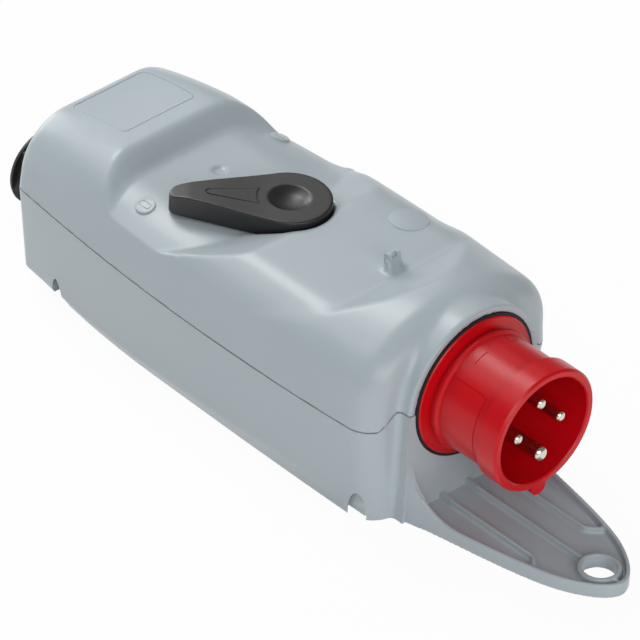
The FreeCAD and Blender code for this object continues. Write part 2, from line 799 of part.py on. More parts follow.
def cylinder(name, at, radius, height):
    return primitive("Part::Cylinder", name, at, {"Radius": radius, "Height": height})


def lying(name, at, radius, height):
    """A cylinder whose axis runs along +X."""
    thing = cylinder(name, at, radius, height)
    thing.Placement.Rotation = FreeCAD.Rotation(V(0, 1, 0), 90)
    return thing


def box(name, at, length, width, height):
    return primitive("Part::Box", name, at, {"Length": length, "Width": width, "Height": height})


def fused(name, parts):
    thing = doc.addObject("Part::MultiFuse", name)
    thing.Shapes = parts
    return thing


def cut(name, base, tools):
    """Takes one tool, or the union of several, from a base."""
    thing = doc.addObject("Part::Cut", name)
    thing.Base = base
    thing.Tool = tools[0] if len(tools) == 1 else fused(name + "_tools", tools)
    return thing


def group(label, parts):
    """Identical small pieces that share one sub-part."""
    thing = doc.addObject("Part::Compound", label + "_set")
    thing.Links = parts
    return keep(thing, label)


def screws(label, places, shank, length, head, head_height, up=True):
    """Upright screws: each place is where the underside of the head bears."""
    made = []
    for i, (x, y, z) in enumerate(places):
        name = "%s_%d" % (label, i)
        low = "(%s) - (%s)" % (z, head_height if up else length)
        body = cylinder(name + "_shank", (x, y, z if up else low), shank, length)
        top = cylinder(name + "_head", (x, y, low if up else z), head, head_height)
        made.append(fused(name, [body, top]))
    return group(label, made)


screws(
    "shell_screws",
    [("-%s" % back, "%s%s" % (way, side), "screw_pocket_depth - axis_height")
     for back, side in (("screw_front_back", "screw_front_side"), ("screw_rear_back", "screw_rear_side"))
     for way in ("", "-")],
    "screw_radius - 0.1", "axis_height - split_drop - screw_pocket_depth + 12", "screw_head_radius", "2.6")


# Plug: gasket, shroud, pin carrier and four pins, all turned about the plug axis

def turned(label, corners, axis="H_Axis", at=("0", "0", "0")):
    body = new_body(label)
    turn(body, label + "_turned", corners, axis)
    place(body, *at)
    return body


gasket = turned("plug_gasket", [
    ("0.4", "gasket_radius - gasket_thickness"), ("0.4", "gasket_radius"),
    ("-seat_depth", "gasket_radius"), ("-seat_depth", "lip_radius"),
    ("gasket_thickness * 1.25 - seat_depth", "lip_radius"),
    ("gasket_thickness * 1.25 - seat_depth", "gasket_radius - gasket_thickness")])
keep(gasket, "plug_gasket")

SEATED = "gasket_thickness * 1.25 - seat_depth"
HELD = "-(seat_depth + lip_depth)"
shroud = turned("plug_shroud", [
    ("rim_forward", "shroud_bore + 0.6"), ("rim_forward", "collar_radius - 1"),
    ("rim_forward - 1", "collar_radius"), ("rim_forward - collar_length + 0.6", "collar_radius"),
    ("rim_forward - collar_length", "sleeve_radius + 0.3"), ("rim_forward - collar_length - 0.4", "sleeve_radius"),
    ("flange_front + 5.4", "sleeve_radius"), ("flange_front + 4.6", "bead_radius"),
    ("flange_front + 3.2", "bead_radius"), ("flange_front + 2", "sleeve_radius - 0.2"),
    ("flange_front + 0.8", "sleeve_radius - 0.2"), ("flange_front", "bead_radius"),
    ("flange_front", "flange_radius - 0.5"), ("flange_front - 0.5", "flange_radius"),
    (SEATED, "flange_radius"), (SEATED, "lip_radius - fit_gap * 3"),
    (HELD + " - fit_gap", "lip_radius - fit_gap * 3"), (HELD + " - fit_gap", "lip_radius + 2"),
    (HELD + " - 3.5", "lip_radius + 2"), (HELD + " - 3.5", "sleeve_radius"),
    ("-carrier_rear - 2", "sleeve_radius"), ("-carrier_rear - 2", "shroud_bore - 2"),
    ("-carrier_rear", "shroud_bore - 2"), ("-carrier_rear", "shroud_bore"),
    ("rim_forward - 0.6", "shroud_bore")])
pad(shroud, "key", circles(
    shroud, "key_outline", "YZ_Plane", [("0", "-shroud_bore - key_round - 0.2", "key_round")],
    "rim_forward - key_setback - key_length"), "key_length")
keep(shroud, "plug_shroud")

PINS = [("0", "pin_circle"), ("pin_circle", "0"), ("-pin_circle", "0")]
carrier = turned("pin_carrier", [
    ("carrier_face", "0"), ("carrier_face", "shroud_bore - 0.7"), ("carrier_face - 0.6", "shroud_bore - fit_gap"),
    ("fit_gap - carrier_rear", "shroud_bore - fit_gap"), ("fit_gap - carrier_rear", "0")])
pocket(carrier, "phase_holes", circles(
    carrier, "phase_hole_plan", "YZ_Plane",
    [(y, z, "phase_pin_radius + pin_shoulder + fit_gap / 2") for y, z in PINS],
    "carrier_face + 1"), "carrier_rear + 10")
pocket(carrier, "earth_hole", circles(
    carrier, "earth_hole_plan", "YZ_Plane",
    [("0", "-pin_circle", "earth_pin_radius + pin_shoulder + fit_gap / 2")], "carrier_face + 1"), "carrier_rear + 10")
keep(carrier, "pin_carrier")


def pin(label, radius, tip, y, z):
    """A pin turned on its own axis: rounded tip, shank, shoulder in the carrier, head behind it."""
    body = turned(label, [
        (tip, "0"), (tip, "%s * 0.45" % radius), (tip + " - %s * 0.12" % radius, "%s * 0.75" % radius),
        (tip + " - %s * 0.4" % radius, "%s * 0.96" % radius), (tip + " - %s * 0.7" % radius, radius),
        ("carrier_face", radius), ("carrier_face", radius + " + pin_shoulder"),
        ("-carrier_rear", radius + " + pin_shoulder"), ("-carrier_rear", "pin_head_radius"),
        ("-carrier_rear - pin_head_length", "pin_head_radius"), ("-carrier_rear - pin_head_length", "wire_bore"),
        ("-carrier_rear - pin_head_length * 0.3", "wire_bore"), ("-carrier_rear - pin_head_length * 0.25", "0")],
        at=("0", y, z))
    pocket(body, label + "_tapping", circles(
        body, label + "_tapping_plan", "XY_Plane",
        [("-carrier_rear - pin_head_length * 0.6", "0", "terminal_screw_radius")], "pin_head_radius + 1"),
        "pin_head_radius + 1")
    return keep(body, label)


for number, (y, z) in enumerate(PINS, start=1):
    pin("phase_pin_%d" % number, "phase_pin_radius", "phase_pin_end", y, z)
pin("earth_pin", "earth_pin_radius", "phase_pin_end + earth_pin_lead", "0", "-pin_circle")
screws(
    "pin_terminal_screws",
    [("-carrier_rear - pin_head_length * 0.6", y, "%s + pin_head_radius + 0.4" % z)
     for y, z in PINS + [("0", "-pin_circle")]],
    "terminal_screw_radius - fit_gap", "pin_head_radius - wire_bore * 0.2", "terminal_screw_radius + 0.7", "1.4", up=False)


# Rotary switch, hung from bosses under the saddle

SWITCH_HIGH = "saddle_height - wall - switch_drop"
BLOCK_HIGH = "saddle_height - wall - switch_drop - switch_cover_thickness"
BLOCK_LOW = "saddle_height - wall - switch_drop - switch_height"
CHAMBER = "bridge_reach + 1"
LEVELS = ["%s + 5.4 + %d * pole_pitch" % (BLOCK_LOW, i) for i in range(3)]
LEFT = "-hub_back - switch_length / 2"
CORNERS = [("-hub_back %s (switch_length / 2 - 3.5)" % a, "%s (switch_width / 2 - 3.5)" % b)
           for a in "+-" for b in "+-"]


def holes(name, places, radius, low, height):
    return [cylinder("%s_%d" % (name, i), (x, y, low), radius, height) for i, (x, y) in enumerate(places)]


base_block = box("switch_block", (LEFT, "-switch_width / 2", BLOCK_LOW),
                 "switch_length", "switch_width", "switch_height - switch_cover_thickness")
chamber = cylinder("chamber", ("-hub_back", "0", BLOCK_LOW + " + 3"), CHAMBER, "switch_height")
slots = [box("contact_slot_%d" % i, (LEFT + " - 1", "-contact_width / 2 - fit_gap / 2", level + " - 2 - fit_gap / 2"),
             "switch_length + 2", "contact_width + fit_gap", "contact_thickness + fit_gap")
         for i, level in enumerate(LEVELS)]
switch_base = cut("switch_base_body", base_block,
                  [chamber] + slots + holes("base_hole", CORNERS, "1.6", BLOCK_LOW + " - 1", "switch_height")
                  + [cylinder("key_hole", ("-hub_back", "0", BLOCK_LOW + " - 1"), "3.2", "10")])
keep(switch_base, "switch_base")

cover_plate = box("switch_plate", (LEFT, "-switch_width / 2", BLOCK_HIGH),
                  "switch_length", "switch_width", "switch_cover_thickness - fit_gap")
shaft_room = cylinder("shaft_room", ("-hub_back", "0", BLOCK_HIGH + " - 1"), "shaft_side * 0.8", "10")
keep(cut("switch_cover_body", cover_plate,
         [shaft_room] + holes("plate_hole", CORNERS, "1.6", BLOCK_HIGH + " - 1", "10")), "switch_cover")

rotor_drum = cylinder("rotor_drum", ("-hub_back", "0", BLOCK_LOW + " + 3.3"), "rotor_radius",
                      "switch_height - switch_cover_thickness - 3.6")


def square(name, side, low, height):
    at = ("-hub_back - (%s) / 2" % side, "-(%s) / 2" % side, low)
    return box(name, at, side, side, height)


def bridge(name, level, width, thickness, reach):
    """A contact bar across the rotor, along Y while the switch is off."""
    return box(name, ("-hub_back - (%s) / 2" % width, "-(%s)" % reach, level), width, "2 * (%s)" % reach, thickness)


bar_slots = [bridge("bar_slot_%d" % i, level + " - fit_gap / 2", "bridge_width + fit_gap",
                    "bridge_thickness + fit_gap", "bridge_reach") for i, level in enumerate(LEVELS)]
keep(cut("switch_rotor_body", rotor_drum,
         [square("rotor_square", "shaft_side + fit_gap", BLOCK_LOW, "switch_height")] + bar_slots), "switch_rotor")
group("contact_bridges", [
    cut("bridge_%d" % i, bridge("bar_%d" % i, level, "bridge_width", "bridge_thickness", "bridge_reach"),
        [square("bar_square_%d" % i, "shaft_side + fit_gap", level + " - 1", "4")])
    for i, level in enumerate(LEVELS)])

contacts = []
contact_screws = []
for i, level in enumerate(LEVELS):
    for way in (-1, 1):
        name = "contact_%d_%s" % (i, "ab"[way > 0])
        tip = "-hub_back + %d * (rotor_radius + 1)" % way
        if way < 0:
            tip += " - contact_length"
        far = "-hub_back + %d * (rotor_radius + 1 + contact_length)" % way
        near = far if way > 0 else far + " - terminal_length"
        strip = box(name + "_strip", (tip, "-contact_width / 2", level + " - 2"),
                    "contact_length", "contact_width", "contact_thickness")
        terminal = box(name + "_terminal", (near, "-contact_width * 0.7", level + " - 2"),
                       "terminal_length", "contact_width * 1.4", "terminal_height")
        middle = near + " + terminal_length / 2"
        wire = cylinder(name + "_wire", (middle, "-contact_width", level + " - 2 + terminal_height * 0.38"),
                        "terminal_height * 0.26", "contact_width * 2")
        wire.Placement.Rotation = FreeCAD.Rotation(V(1, 0, 0), -90)
        tapping = cylinder(name + "_tapping", (middle, "0", level + " - 2 + terminal_height * 0.4"),
                           "terminal_screw_radius", "terminal_height")
        contacts.append(cut(name, fused(name + "_form", [strip, terminal]), [wire, tapping]))
        contact_screws.append((middle, "0", level + " - 2 + terminal_height + 0.2"))
group("fixed_contacts", contacts)
screws("terminal_screws", contact_screws, "terminal_screw_radius - fit_gap", "terminal_height * 0.5",
       "terminal_screw_radius + 0.7", "1.2", up=False)
screws("switch_screws", [(x, y, BLOCK_LOW) for x, y in CORNERS], "1.4", "switch_height + 3.5", "2.6", "1.6")


# Handle and its shaft turn about the hub

def teardrop(body, name, grow="0", offset="0"):
    """Two round ends joined by tangent sides, drawn along the lever."""
    sketch = new_sketch(body, name, "XY_Plane", offset)
    hub, tip, lever = (value(t) for t in ("handle_hub_radius - %s" % grow, "handle_tip_radius - %s" % grow,
                                           "handle_lever"))
    lean = math.acos((hub - tip) / lever)
    z = V(0, 0, 1)
    sketch.addGeometry(Part.ArcOfCircle(Part.Circle(V(0, 0, 0), z, hub), lean, 2 * math.pi - lean))
    sketch.addGeometry(Part.ArcOfCircle(Part.Circle(V(lever, 0, 0), z, tip), -lean, lean))
    for way in (1, -1):
        near = V(hub * math.cos(lean), way * hub * math.sin(lean), 0)
        far = V(lever + tip * math.cos(lean), way * tip * math.sin(lean), 0)
        sketch.addGeometry(Part.LineSegment(near, far))
    for line, hub_end, tip_end in ((2, 1, 2), (3, 2, 1)):
        sketch.addConstraint(Sketcher.Constraint("Tangent", 0, hub_end, line, 1))
        sketch.addConstraint(Sketcher.Constraint("Tangent", line, 2, 1, tip_end))
    sketch.addConstraint(Sketcher.Constraint("Coincident", 0, 3, -1, 1))
    sketch.addConstraint(Sketcher.Constraint("PointOnObject", 1, 3, -1))
    for kind, index, number, text in (
            ("Radius", 0, hub, "handle_hub_radius - %s" % grow),
            ("Radius", 1, tip, "handle_tip_radius - %s" % grow)):
        row = sketch.addConstraint(Sketcher.Constraint(kind, index, number))
        sketch.setExpression("Constraints[%d]" % row, bound(text))
    row = sketch.addConstraint(Sketcher.Constraint("DistanceX", 1, 3, lever))
    sketch.setExpression("Constraints[%d]" % row, bound("handle_lever"))
    return sketch


def handle_bowl(body):
    """A shallow round bowl in the hub's top, turned about the hub."""
    sketch = new_sketch(body, "bowl_profile", "XZ_Plane")
    wide, high, deep = (value(t) for t in ("dish_radius", "handle_thickness", "dish_depth"))
    round_radius = (wide * wide + deep * deep) / (2 * deep)
    z = V(0, 0, 1)
    ball = Part.Circle(V(0, high - deep + round_radius, 0), z, round_radius)
    sketch.addGeometry(Part.ArcOfCircle(ball, -math.pi / 2, math.asin(wide / round_radius) - math.pi / 2))
    sketch.addGeometry(Part.LineSegment(V(wide, high, 0), V(0, high, 0)))
    sketch.addGeometry(Part.LineSegment(V(0, high, 0), V(0, high - deep, 0)))
    for first, second in ((0, 1), (1, 2), (2, 0)):
        sketch.addConstraint(Sketcher.Constraint("Coincident", first, 2, second, 1))
    sketch.addConstraint(Sketcher.Constraint("PointOnObject", 0, 3, -2))
    tie_point(sketch, 0, 1, "0", "handle_thickness - dish_depth")
    tie_point(sketch, 1, 1, "dish_radius", "handle_thickness")
    tie_point(sketch, 2, 1, "0", "handle_thickness")
    feature = body.newObject("PartDesign::Groove", "bowl")
    feature.Profile = sketch
    feature.ReferenceAxis = (sketch, ["V_Axis"])
    feature.Angle = 360


handle = new_body("switch_handle")
pad(handle, "lever", teardrop(handle, "lever_plan"), "handle_thickness - handle_bevel")
pad(handle, "lever_top", teardrop(handle, "lever_top_plan", "handle_bevel", "handle_thickness - handle_bevel"),
    "handle_bevel")
pad(handle, "stem", circles(handle, "stem_plan", "XY_Plane", [("0", "0", "stem_radius")],
                            "-handle_gap - wall - seal_thickness"),
    "handle_gap + wall + seal_thickness + 1")
handle_bowl(handle)
SOCKET_TOP = "handle_thickness - dish_depth - 5.4"
pocket(handle, "screw_hole", circles(handle, "screw_hole_plan", "XY_Plane", [("0", "0", "1.5")],
                                     SOCKET_TOP + " + 4"), "handle_thickness + wall + seal_thickness")
HALF_DIAGONAL = "(shaft_side + fit_gap) * 0.7072"
pocket(handle, "socket", polygon(handle, "socket_plan", "XY_Plane", [
    ("0", "-" + HALF_DIAGONAL), (HALF_DIAGONAL, "0"), ("0", HALF_DIAGONAL), ("-" + HALF_DIAGONAL, "0")],
    SOCKET_TOP), "handle_thickness + wall + seal_thickness")
place(handle, "-hub_back", "0", "saddle_height + handle_gap")
handle.setExpression("Placement.Rotation.Angle", bound("handle_rest_angle"))
keep(handle, "switch_handle")

SHAFT_TOP = "saddle_height + handle_gap - 0.1 + " + SOCKET_TOP
SCREW_SEAT = BLOCK_LOW + " + 5.5"
SHAFT_LOW = SCREW_SEAT
keep(cut("switch_shaft_body", square("shaft_bar", "shaft_side", SHAFT_LOW, "(%s) - (%s)" % (SHAFT_TOP, SHAFT_LOW)),
         [cylinder("shaft_bore", ("-hub_back", "0", SHAFT_LOW + " - 1"), "1.5", "switch_height + 20")]), "switch_shaft")
screws("handle_screw", [("-hub_back", "0", SCREW_SEAT)],
       "1.4", "(%s) - (%s) + 3.8" % (SHAFT_TOP, SCREW_SEAT), "2.7", "1.8")
SEAL_LOW = "saddle_height - wall - seal_thickness - 0.5"
seal = turned("shaft_seal", [
    ("stem_radius + stem_gap", "0"), ("stem_radius + stem_gap + 2.3", "0"),
    ("stem_radius + stem_gap + 2.3", "seal_thickness - fit_gap"), ("stem_radius + stem_gap", "seal_thickness - fit_gap")],
    "V_Axis", ("-hub_back", "0", SEAL_LOW))
keep(seal, "shaft_seal")


# Cable gland in the rear wall, with its clamp inside

REAR = "-body_length"
AXIS = ("0", "0", "-gland_drop")
gland = turned("gland_body", [
    (REAR + " - 0.1", "gland_bore + 2"), (REAR + " + heel_round + 6", "gland_bore + 2"),
    (REAR + " + heel_round + 6", "gland_thread_radius"),
    (REAR, "gland_thread_radius"), (REAR, "gland_nut_radius * 0.92"), (REAR + " - gland_flange", "gland_nut_radius * 0.92"),
    (REAR + " - gland_flange", "gland_thread_radius"), (REAR + " - gland_flange - 12", "gland_thread_radius"),
    (REAR + " - gland_flange - 12", "gland_bore + 2")], at=AXIS)
keep(gland, "gland_body")
NUT = REAR + " - gland_flange - fit_gap"
nut = turned("gland_nut", [
    (NUT, "gland_thread_radius + fit_gap"), (NUT, "gland_thread_radius + 1.5"),
    ("-gland_reach + gland_nut_rim", "gland_thread_radius + 1.5"), ("-gland_reach + gland_nut_rim", "gland_nut_radius"),
    ("-gland_reach + 1.4", "gland_nut_radius"), ("-gland_reach + 0.4", "gland_nut_radius - 0.5"),
    ("-gland_reach", "gland_nut_radius - 1.6"), ("-gland_reach", "gland_bore + 1"),
    ("-gland_reach + 4", "gland_bore"), ("-gland_reach + 9", "gland_bore"),
    ("-gland_reach + 9", "gland_thread_radius + fit_gap")], at=AXIS)
FLATS = [("-%s" % a if a[0] != "-" else a[1:], b) for a, b in (
    ("0.7071", "0.7071"), ("0.9659", "-0.2588"), ("0.2588", "-0.9659"),
    ("-0.7071", "-0.7071"), ("-0.9659", "0.2588"), ("-0.2588", "0.9659"))]
pad(nut, "flats", polygon(nut, "flats_plan", "YZ_Plane", [
    ("(gland_nut_radius - 0.2) * (%s)" % a, "(gland_nut_radius - 0.2) * (%s)" % b) for a, b in FLATS],
    "-gland_reach + gland_nut_rim - 0.5"), "gland_reach - body_length - gland_flange - fit_gap - gland_nut_rim + 0.5")
pocket(nut, "thread_room", circles(nut, "thread_room_plan", "YZ_Plane", [
    ("0", "0", "gland_thread_radius + fit_gap")], NUT + " + 1"), "gland_reach - body_length - gland_flange - fit_gap - 8")
pocket(nut, "cord_room", circles(nut, "cord_room_plan", "YZ_Plane", [
    ("0", "0", "gland_bore")], NUT), "gland_reach - body_length - gland_flange - fit_gap + 1")
keep(nut, "gland_nut")
seal_ring = turned("gland_seal", [
    ("-gland_reach + 9 + fit_gap", "gland_bore"), ("-gland_reach + 9 + fit_gap", "gland_thread_radius - 0.5"),
    (REAR + " - gland_flange - 12 - fit_gap", "gland_thread_radius - 0.5"),
    (REAR + " - gland_flange - 12 - fit_gap", "gland_bore + 1.9"), (REAR + " - gland_flange", "gland_bore + 1.9"),
    (REAR + " - gland_flange", "gland_bore")], at=AXIS)
keep(seal_ring, "gland_seal")
locknut = turned("gland_locknut", [
    (REAR + " + heel_round + fit_gap", "gland_thread_radius + fit_gap"),
    (REAR + " + heel_round + fit_gap", "gland_thread_radius + 2.5"),
    (REAR + " + heel_round + 4.5", "gland_thread_radius + 2.5"),
    (REAR + " + heel_round + 4.5", "gland_thread_radius + fit_gap")], at=AXIS)
keep(locknut, "gland_locknut")

CLAMP_AT = "34 - body_length"
CLAMP_Z = "gland_bore * 1.05 - gland_drop"
bar = box("clamp_bar", (CLAMP_AT + " - 4.5", "-gland_bore - 10.5", CLAMP_Z + " + fit_gap"),
          "9", "2 * gland_bore + 21", "3.6")
keep(cut("cord_clamp_body", bar, holes("clamp_hole", [(CLAMP_AT, "gland_bore + 6"), (CLAMP_AT, "-gland_bore - 6")],
                                       "1.8", CLAMP_Z + " - 1", "10")), "cord_clamp")
screws("clamp_screws", [(CLAMP_AT, "%s(gland_bore + 6)" % way, CLAMP_Z + " + 3.8") for way in ("", "-")],
       "1.4", "10", "2.8", "1.8", up=False)


# Checks, then one file per sub-part

doc.recompute()
for thing in doc.Objects:
    if "Invalid" in thing.State or "Error" in thing.State:
        raise RuntimeError("%s did not build: %s" % (thing.Label, thing.State))
os.makedirs("parts", exist_ok=True)
for thing in nodes:
    if thing.Shape.isNull() or not thing.Shape.isValid():
        raise RuntimeError("%s has no sound shape" % thing.Label)
for thing in nodes:
    thing.Shape.exportStep("parts/%s.step" % thing.Label)
print("%d sub-parts" % len(nodes))
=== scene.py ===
import json
import math

import bpy
from mathutils import Matrix, Vector
from mathutils.bvhtree import BVHTree

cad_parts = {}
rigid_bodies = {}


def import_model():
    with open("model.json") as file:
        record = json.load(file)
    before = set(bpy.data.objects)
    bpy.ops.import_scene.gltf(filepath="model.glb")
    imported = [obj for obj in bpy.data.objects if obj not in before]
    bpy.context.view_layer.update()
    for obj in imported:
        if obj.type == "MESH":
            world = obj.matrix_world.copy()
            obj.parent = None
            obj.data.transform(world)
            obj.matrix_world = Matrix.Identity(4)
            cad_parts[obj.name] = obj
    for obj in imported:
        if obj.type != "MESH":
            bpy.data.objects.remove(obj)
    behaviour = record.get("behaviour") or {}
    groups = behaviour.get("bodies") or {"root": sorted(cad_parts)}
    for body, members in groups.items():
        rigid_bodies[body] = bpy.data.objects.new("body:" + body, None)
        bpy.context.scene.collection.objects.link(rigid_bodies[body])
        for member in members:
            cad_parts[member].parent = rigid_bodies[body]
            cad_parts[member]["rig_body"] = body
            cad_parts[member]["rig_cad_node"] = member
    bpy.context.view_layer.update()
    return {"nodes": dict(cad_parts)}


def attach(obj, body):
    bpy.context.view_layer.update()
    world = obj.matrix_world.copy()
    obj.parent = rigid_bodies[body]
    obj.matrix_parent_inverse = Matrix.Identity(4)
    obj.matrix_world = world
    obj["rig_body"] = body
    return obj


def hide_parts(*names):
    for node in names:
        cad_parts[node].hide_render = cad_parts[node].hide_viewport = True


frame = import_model()

# Studio
# A pale floor under a white surround, six soft lamps and an even fill. The
# camera looks down on the switch side, from the front left of the pins.

MM = 0.001
AXIS = Vector((86.75, 0, 55))
PLUG_REACH = 41.7
FLOOR_GAP = 0.4
FLOOR_WHITE = 0.95
EVEN_FILL = 0.215
LAMP_AIM = 50


def place(x, y, z):
    """A point about the plug's axis in millimetres, as a point of the row frame."""
    return (AXIS + Vector((x, y, z))) * MM


class Value:
    """One socket of a node, so that its sums read as plain arithmetic."""

    def __init__(self, nodes, socket):
        self.nodes = nodes
        self.socket = socket

    def sum(self, operation, other):
        return self.nodes.node("Math", {"operation": operation}, {0: self, 1: other})

    def __add__(self, other):
        return self.sum("ADD", other)

    def __mul__(self, other):
        return self.sum("MULTIPLY", other)

    __radd__ = __add__
    __rmul__ = __mul__


class Nodes:
    """The nodes of a finish or of the world."""

    def __init__(self, tree):
        self.tree = tree

    def feed(self, socket, value):
        """Sets a socket, or links it where the value comes out of a node."""
        if isinstance(value, Value):
            self.tree.links.new(value.socket, socket)
        else:
            socket.default_value = value

    def node(self, kind, settings=None, inputs=None, output=0):
        """Adds a node with its settings and its inputs, and gives one of its outputs."""
        node = self.tree.nodes.new("ShaderNode" + kind)
        for setting, value in (settings or {}).items():
            setattr(node, setting, value)
        for name, value in (inputs or {}).items():
            self.feed(node.inputs[name], value)
        return Value(self, node.outputs[output])


class Finish(Nodes):
    """A material in the making, with one shader."""

    def __init__(self, name, **sockets):
        self.material = bpy.data.materials.new(name)
        self.material.use_nodes = True
        super().__init__(self.material.node_tree)
        self.shader = self.tree.nodes["Principled BSDF"]
        self.feed_shader(**sockets)

    def feed_shader(self, **sockets):
        """Feeds the shader's sockets by their names, and gives the material."""
        for name, value in sockets.items():
            self.feed(self.shader.inputs[name.replace("_", " ").title().replace("Ior", "IOR")], value)
        return self.material

    def noise(self, size, detail=2.0, roughness=0.5):
        """A cloudy pattern from 0 to 1 whose lumps are about size millimetres across."""
        spot = self.node("TexCoord", output="Object")
        return self.node("TexNoise", inputs={
            "Vector": spot, "Scale": 1 / (size * MM), "Detail": detail, "Roughness": roughness})

    def tint(self, pattern, low, high):
        """Mixes two colours by a pattern."""
        return self.node("Mix", {"data_type": "RGBA"}, {0: pattern, 6: low, 7: high}, output=2)

    def bump(self, pattern, depth, strength):
        """Makes a pattern a relief that is depth millimetres deep."""
        return self.node("Bump", inputs={"Height": pattern, "Distance": depth * MM, "Strength": strength})


def srgb(red, green, blue):
    """A colour as it shows, from 0 to 255, in the renderer's linear values."""
    channels = [c / 255 for c in (red, green, blue)]
    return tuple(((c + 0.055) / 1.055) ** 2.4 if c > 0.04045 else c / 12.92 for c in channels) + (1.0,)


bpy.ops.mesh.primitive_plane_add(size=6, location=(0, 0, -FLOOR_GAP * MM))
floor = bpy.context.object
floor.name = "studio_floor"

floor_paint = Finish("floor_paint", base_color=(0.9, 0.9, 0.9, 1.0), roughness=0.9)
matt = Value(floor_paint, floor_paint.shader.outputs[0])
white = floor_paint.node("Emission")
seen = floor_paint.node("Math", {"operation": "MAXIMUM"}, {
    0: floor_paint.node("LightPath", output="Is Camera Ray"),
    1: floor_paint.node("LightPath", output="Is Glossy Ray")})
surface = floor_paint.node("MixShader", inputs={0: seen * FLOOR_WHITE, 1: matt, 2: white})
floor_paint.feed(floor_paint.tree.nodes["Material Output"].inputs["Surface"], surface)
floor.data.materials.append(floor_paint.material)

world = bpy.data.worlds.new("studio")
bpy.context.scene.world = world
world.use_nodes = True
sky = Nodes(world.node_tree)
backdrop = sky.tree.nodes["Background"]
in_view = sky.node("LightPath", output="Is Camera Ray")
glow = sky.node("Mix", {"data_type": "FLOAT"}, {0: in_view, 2: EVEN_FILL, 3: 1.0})
sky.feed(backdrop.inputs["Strength"], glow)
sky.feed(backdrop.inputs["Color"], (1, 1, 1, 1))


def soft_box(name, direction, distance, size, power):
    """A square lamp that stands in a direction from the housing and faces it."""
    way = Vector(direction).normalized()
    spot = way * distance + Vector((0, 0, LAMP_AIM)) * MM
    bpy.ops.object.light_add(type="AREA", location=spot, rotation=way.to_track_quat("Z", "Y").to_euler())
    lamp = bpy.context.object
    lamp.name = name
    lamp.data.size = size
    lamp.data.energy = power


soft_box("key_light", (-0.56, 0.13, 0.81), distance=1.6, size=0.5, power=6.2)
soft_box("top_light", (-0.60, -0.20, 0.78), distance=1.3, size=0.9, power=4.5)
soft_box("front_light", (0.9, -0.25, 0.35), distance=1.5, size=0.8, power=6.5)
soft_box("rear_light", (-1.0, 0.1, 0.25), distance=1.6, size=0.8, power=8.2)
soft_box("side_light", (0.6, -0.6, 0.5), distance=1.6, size=0.8, power=4.4)
soft_box("far_light", (-0.70, 0.50, 0.58), distance=1.6, size=0.6, power=1.5)

HEADING, TILT, ROLL = (math.radians(angle) for angle in (44.2519, 36.8002, 3.6744))
CAMERA_ACROSS, CAMERA_RISE, CAMERA_BACK = -92.3605, 45.7848, 3644.65
FOCAL_PIXELS, PHOTO_PIXELS = 8868.25, 640
SENSOR = 36

right = Vector((math.cos(HEADING), math.sin(HEADING), 0))
up = Vector((-math.sin(HEADING) * math.sin(TILT), math.cos(HEADING) * math.sin(TILT), math.cos(TILT)))
back = Vector((math.sin(HEADING) * math.cos(TILT), -math.cos(HEADING) * math.cos(TILT), math.sin(TILT)))
across = math.cos(ROLL) * right + math.sin(ROLL) * up
upright = math.cos(ROLL) * up - math.sin(ROLL) * right
aim = AXIS + Vector((PLUG_REACH, 0, 0))
stand = CAMERA_ACROSS * across + CAMERA_RISE * upright + CAMERA_BACK * back + aim
turn = Matrix((across, upright, back)).transposed().to_euler()
bpy.ops.object.camera_add(location=stand * MM, rotation=turn)
camera = bpy.context.object
camera.name = "photo_camera"
camera.data.sensor_width = SENSOR
camera.data.lens = SENSOR * FOCAL_PIXELS / PHOTO_PIXELS
camera.data.clip_end = 20
bpy.context.scene.camera = camera
bpy.context.scene.view_settings.view_transform = "Standard"

# Housing base
# The lower shell is a light grey nylon moulding on a flat foot. Its knee and the
# corners of the plug's land are rounded, and its front screw pockets have a lip.

TONGUE_START = 7.0
SPLIT = -7.2
LAND_HALF = 37.0
KNEE = -50.0
KNEE_HALF = 44.0
KNEE_REAR, KNEE_MIDDLE, KNEE_FRONT = -228.0, -134.0, -26.0
KNEE_OUT, KNEE_OUT_SLOPE = 1.6, 0.006
KNEE_LIFT, KNEE_LIFT_SLOPE = 2.2, 0.046
FRONT_POCKET = (-17.2, 43.3)
REAR_POCKET = (-204.9, 38.7)
POCKET_ROOM = 8.6
LIP_RADIUS = 6.8
LIP_MIDDLE, LIP_LONG = -49.5, 11
LIP_INSIDE, LIP_OUTSIDE = 45.2, 47.4
LIP_FOOT = -52.6
TOUCH = 0.05


def only(piece):
    """Leaves this piece alone selected and active."""
    bpy.ops.object.select_all(action="DESELECT")
    piece.select_set(True)
    bpy.context.view_layer.objects.active = piece


def finish_modifier(piece, kind, **settings):
    """Adds a modifier with its settings, and applies it."""
    only(piece)
    modifier = piece.modifiers.new(kind.lower(), kind)
    for setting, value in settings.items():
        setattr(modifier, setting, value)
    bpy.ops.object.modifier_apply(modifier=modifier.name)


def shade(piece, sharp):
    """Shades a piece smooth across edges whose turn is less than sharp, in degrees."""
    only(piece)
    bpy.ops.object.shade_smooth_by_angle(angle=math.radians(sharp))


def copy_of(node, name, sharp=30):
    """A copy of a solid with its triangles joined, for smooth shading and finer shaping."""
    piece = frame["nodes"][node].copy()
    piece.data = piece.data.copy()
    bpy.context.collection.objects.link(piece)
    piece.hide_viewport = piece.hide_render = False
    only(piece)
    bpy.ops.object.parent_clear(type="CLEAR_KEEP_TRANSFORM")
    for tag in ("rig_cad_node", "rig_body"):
        if tag in piece:
            del piece[tag]
    piece.name = name
    piece.data.name = name
    bpy.ops.mesh.customdata_custom_splitnormals_clear()
    bpy.ops.object.mode_set(mode="EDIT")
    bpy.ops.mesh.select_all(action="SELECT")
    bpy.ops.mesh.remove_doubles(threshold=1e-6)
    bpy.ops.object.mode_set(mode="OBJECT")
    shade(piece, sharp)
    return piece


